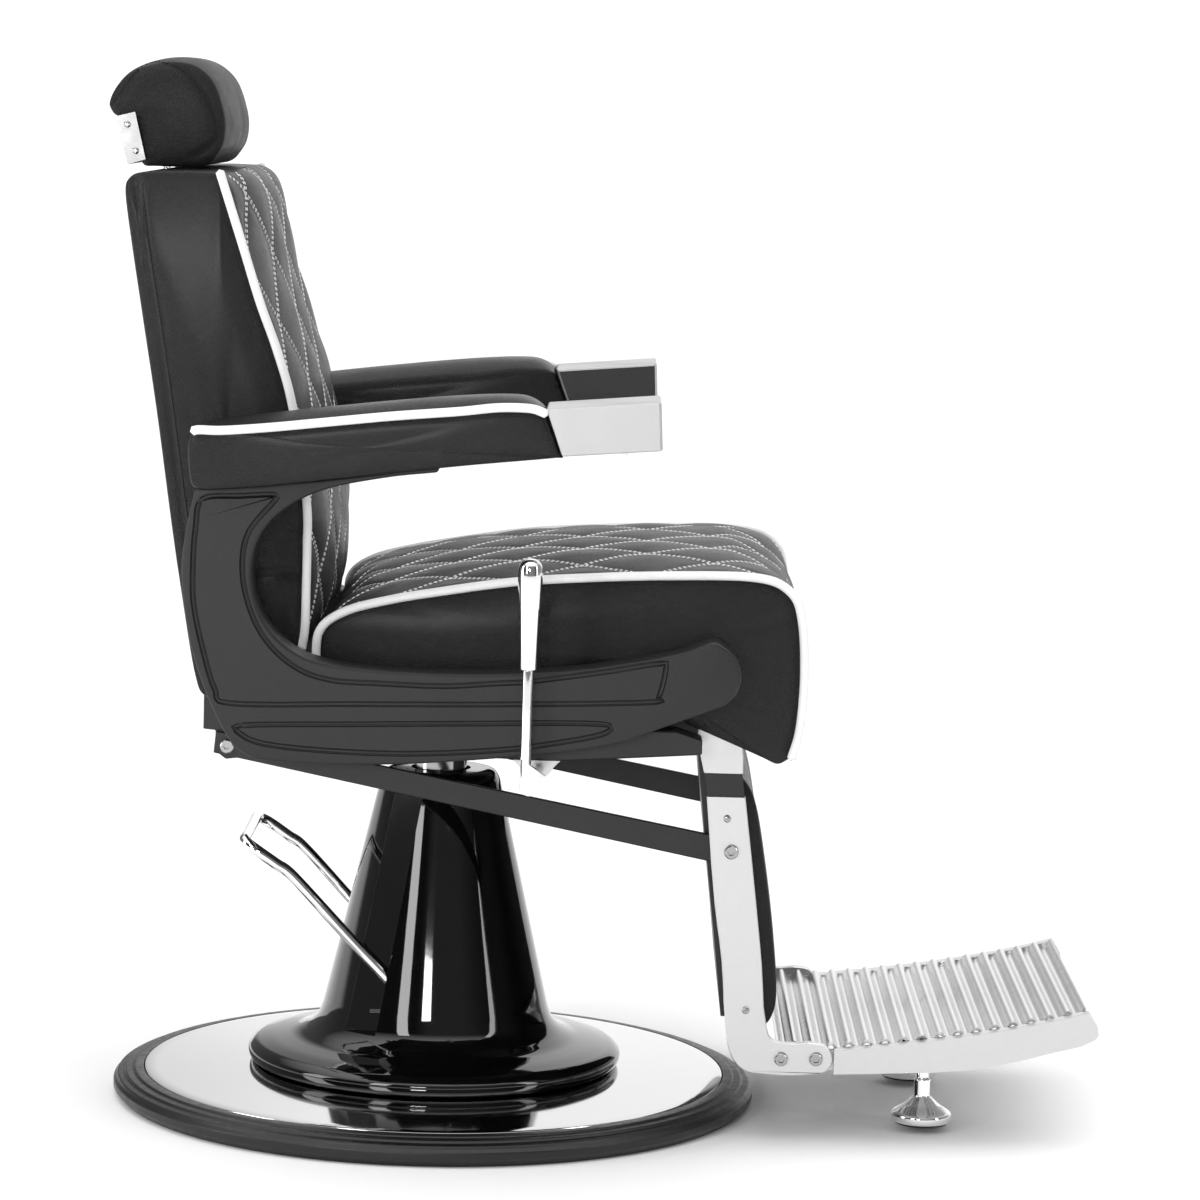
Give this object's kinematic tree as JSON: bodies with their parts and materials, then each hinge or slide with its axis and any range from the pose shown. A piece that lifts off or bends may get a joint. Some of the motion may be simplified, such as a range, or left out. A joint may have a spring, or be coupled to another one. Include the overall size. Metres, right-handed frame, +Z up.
{
  "type": "hydraulic barber chair",
  "caption": "Reclining barber chair on a round pump base, with padded arms, coupled legrest with footplate, and sliding tilting headrest.",
  "frame": {"origin": "on the floor under the swivel axis, at the underside of the base plate", "axes": "+X the way the sitter faces, +Y the sitter's left, +Z up"},
  "size_m": [1.0025, 0.704, 1.057],
  "materials": {
    "leather": "fine grained, satin, white piping and stitching",
    "chrome": "mirror polished",
    "aluminium": "brushed and polished",
    "piano_black": "high gloss",
    "frame_black": "finely textured matte",
    "steel_black": "satin powder coat",
    "rubber": "matte"
  },
  "bodies": {
    "base": {"base_disc": "chrome", "base_plate": "steel_black", "base_rubber_ring": "rubber", "column_cover": "piano_black", "pump_body": "steel_black"},
    "ram": {"ram": "chrome"},
    "pump_pedal": {"pump_pedal": "chrome"},
    "seat": {"arm_front_l": "chrome", "arm_front_r": "chrome", "arm_pad_l": "leather", "arm_pad_r": "leather", "legrest_axle": "steel_black", "lever_bracket": "aluminium", "ram_socket": "steel_black", "recline_axle": "steel_black", "seat_cushion": "leather", "seat_pan": "steel_black", "side_frame_l": "frame_black", "side_frame_r": "frame_black", "under_rail_l": "steel_black", "under_rail_r": "steel_black"},
    "backrest": {"back_bracket_l": "steel_black", "back_bracket_r": "steel_black", "back_cushion": "leather"},
    "link_r": {"link_r": "steel_black", "link_bolt_r": "chrome"},
    "link_l": {"link_l": "steel_black", "link_bolt_l": "chrome"},
    "headrest_post": {"headrest_post": "chrome"},
    "headrest": {"headrest_bracket": "chrome", "headrest_cushion": "leather"},
    "legrest": {"calf_board": "steel_black", "calf_pad": "leather", "footrest_beam": "aluminium", "footrest_side_l": "aluminium", "footrest_side_r": "aluminium", "footrest_tread": "aluminium", "heel_bolt_l": "chrome", "heel_bolt_r": "chrome", "post_band_l": "steel_black", "post_band_r": "steel_black", "post_bolt_l": "chrome", "post_bolt_r": "chrome", "post_l": "aluminium", "post_r": "aluminium", "post_top_l": "aluminium", "post_top_r": "aluminium", "toe_bolt_l": "chrome", "toe_bolt_r": "chrome"},
    "foot_r": {"foot_r": "chrome", "foot_pad_r": "rubber"},
    "foot_l": {"foot_l": "chrome", "foot_pad_l": "rubber"},
    "lever": {"recline_lever": "chrome", "lever_grip": "chrome"}
  },
  "joints": [
    {"name": "lift", "type": "slide", "parent": "base", "child": "ram", "axis": [0, 0, 1], "range_m": [0, 0.15]},
    {"name": "swivel", "type": "hinge", "parent": "ram", "child": "seat", "pos_m": [0, 0, 0.4], "axis": [0, 0, 1], "continuous": true},
    {"name": "pedal", "type": "hinge", "parent": "base", "child": "pump_pedal", "pos_m": [-0.029, 0, 0.118], "axis": [0, -1, 0], "range_deg": [0, 28], "stiffness_Nm_per_rad": 3, "springref_deg": -34.38},
    {"name": "recline", "type": "hinge", "parent": "seat", "child": "backrest", "pos_m": [-0.165, 0, 0.43], "axis": [0, -1, 0], "range_deg": [0, 40]},
    {"name": "legrest_swing", "type": "hinge", "parent": "seat", "child": "legrest", "pos_m": [0.275, 0, 0.412], "axis": [0, -1, 0], "range_deg": [0, 23]},
    {"name": "link_swing_r", "type": "hinge", "parent": "backrest", "child": "link_r", "pos_m": [-0.204, -0.1836, 0.384], "axis": [0, -1, 0], "range_deg": [-38, 0]},
    {"name": "link_swing_l", "type": "hinge", "parent": "backrest", "child": "link_l", "pos_m": [-0.204, 0.1836, 0.384], "axis": [0, -1, 0], "range_deg": [-38, 0]},
    {"name": "headrest_slide", "type": "slide", "parent": "backrest", "child": "headrest_post", "axis": [-0.1478, 0, 0.989], "range_m": [0, 0.09]},
    {"name": "headrest_tilt", "type": "hinge", "parent": "headrest_post", "child": "headrest", "pos_m": [-0.2925, 0, 0.967], "axis": [0, -1, 0], "range_deg": [0, 15]},
    {"name": "lever_pull", "type": "hinge", "parent": "seat", "child": "lever", "pos_m": [0.104, -0.335, 0.38], "axis": [0, -1, 0], "range_deg": [0, 15], "stiffness_Nm_per_rad": 2, "springref_deg": -28.65},
    {"name": "foot_thread_r", "type": "slide", "parent": "legrest", "child": "foot_r", "axis": [0, 0, 1], "range_m": [0, 0.012]},
    {"name": "foot_thread_l", "type": "slide", "parent": "legrest", "child": "foot_l", "axis": [0, 0, 1], "range_m": [0, 0.012]}
  ],
  "couplings": [
    {"joint": "legrest_swing", "follows": "recline", "ratio": 0.5575},
    {"joint": "link_swing_r", "follows": "recline", "ratio": -0.9125},
    {"joint": "link_swing_l", "follows": "recline", "ratio": -0.9125}
  ]
}
